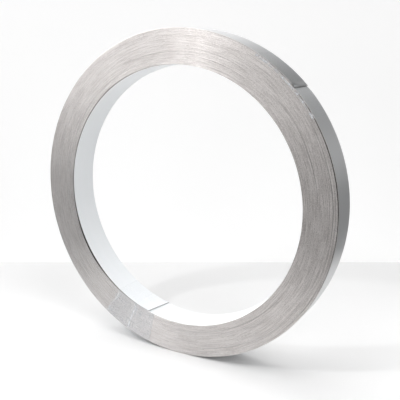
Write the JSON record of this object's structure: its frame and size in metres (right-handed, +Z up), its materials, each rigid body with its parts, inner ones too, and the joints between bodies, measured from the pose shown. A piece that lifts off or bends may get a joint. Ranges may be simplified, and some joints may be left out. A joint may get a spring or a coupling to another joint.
{
  "type": "aluminium channel letter coil",
  "caption": "Narrow coated aluminium strip for letter sides, wound into a thin open ring that stands on its rim, bound with clear tape.",
  "frame": {"origin": "on the floor under the middle of the coil, which stands on its rim", "axes": "+Y along the coil's axis, from its front end to its back end; +Z up; seen from the front, the strip runs clockwise from its inner end to its outer end"},
  "size_m": [0.51, 0.0508, 0.51],
  "materials": {
    "coated_aluminium": "brushed outer side, white coated inner side, bare slit edges on the ends",
    "clear_tape": "clear glossy packing film"
  },
  "bodies": {
    "root": {"strip_coil": "coated_aluminium", "binding_tape_lower": "clear_tape", "binding_tape_upper": "clear_tape", "tail_tape": "clear_tape"}
  },
  "joints": []
}
